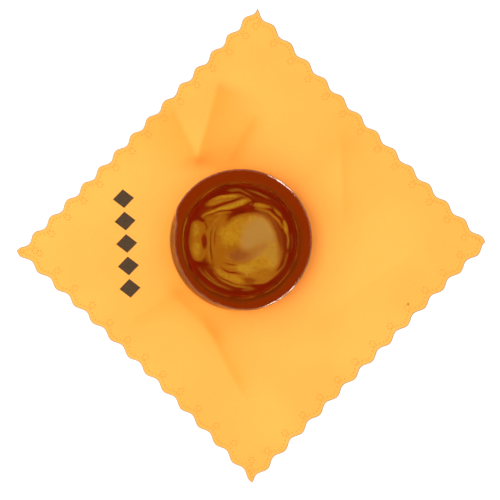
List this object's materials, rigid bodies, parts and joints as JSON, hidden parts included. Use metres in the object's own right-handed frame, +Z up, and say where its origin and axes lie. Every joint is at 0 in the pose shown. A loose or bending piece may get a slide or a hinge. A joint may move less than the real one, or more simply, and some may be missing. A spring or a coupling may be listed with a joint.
{
  "type": "rosin cake on a wrapping cloth",
  "caption": "Round clear amber rosin cake with a chamfered foot, stuck by an adhesive disc to a square scalloped microfibre cloth that wraps it. Bow hair is drawn over its flat top.",
  "frame": {"origin": "middle of the bounding box of the flat cloth, on the surface it lies on", "axes": "+Z up, out of the cake's flat top. The cloth's corners point along +X, +Y, -X and -Y, and the printed row is beside the cake on the -X side."},
  "size_m": [0.1408, 0.1426, 0.0131],
  "materials": {
    "microfibre": "soft sueded microfibre, orange yellow, with pressed dots along its scalloped edge and a dark printed row of lozenges",
    "adhesive": "cream yellow set adhesive",
    "rosin": "clear dark amber resin, cast glossy, with folds set into its underside"
  },
  "bodies": {
    "root": {"wrapping_cloth": "microfibre", "adhesive_disc": "adhesive", "rosin_cake": "rosin"}
  },
  "joints": []
}
